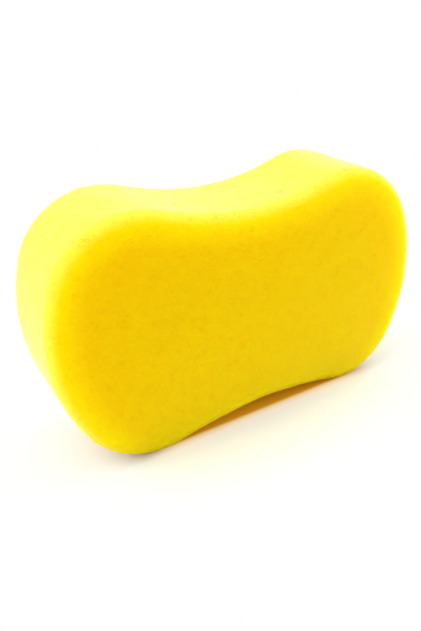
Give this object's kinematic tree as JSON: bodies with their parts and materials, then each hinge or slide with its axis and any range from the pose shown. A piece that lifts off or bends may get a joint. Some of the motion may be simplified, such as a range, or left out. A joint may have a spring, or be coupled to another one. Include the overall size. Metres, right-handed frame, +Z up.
{
  "type": "cleaning sponge",
  "caption": "Large soft foam sponge block with a bone-shaped outline: rounded lobes at both ends, a dip above and below for the hand, and soft edges round its broad faces.",
  "frame": {"origin": "on the floor, under the middle of the block as it stands on its two lower lobes", "axes": "+X along the block's length, +Y through its thickness from the front face to the back face, +Z up"},
  "size_m": [0.2, 0.06, 0.119],
  "materials": {
    "yellow_foam": "matt open-cell foam, warm yellow through its whole depth, with fine pores"
  },
  "bodies": {
    "root": {"sponge": "yellow_foam"}
  },
  "joints": []
}
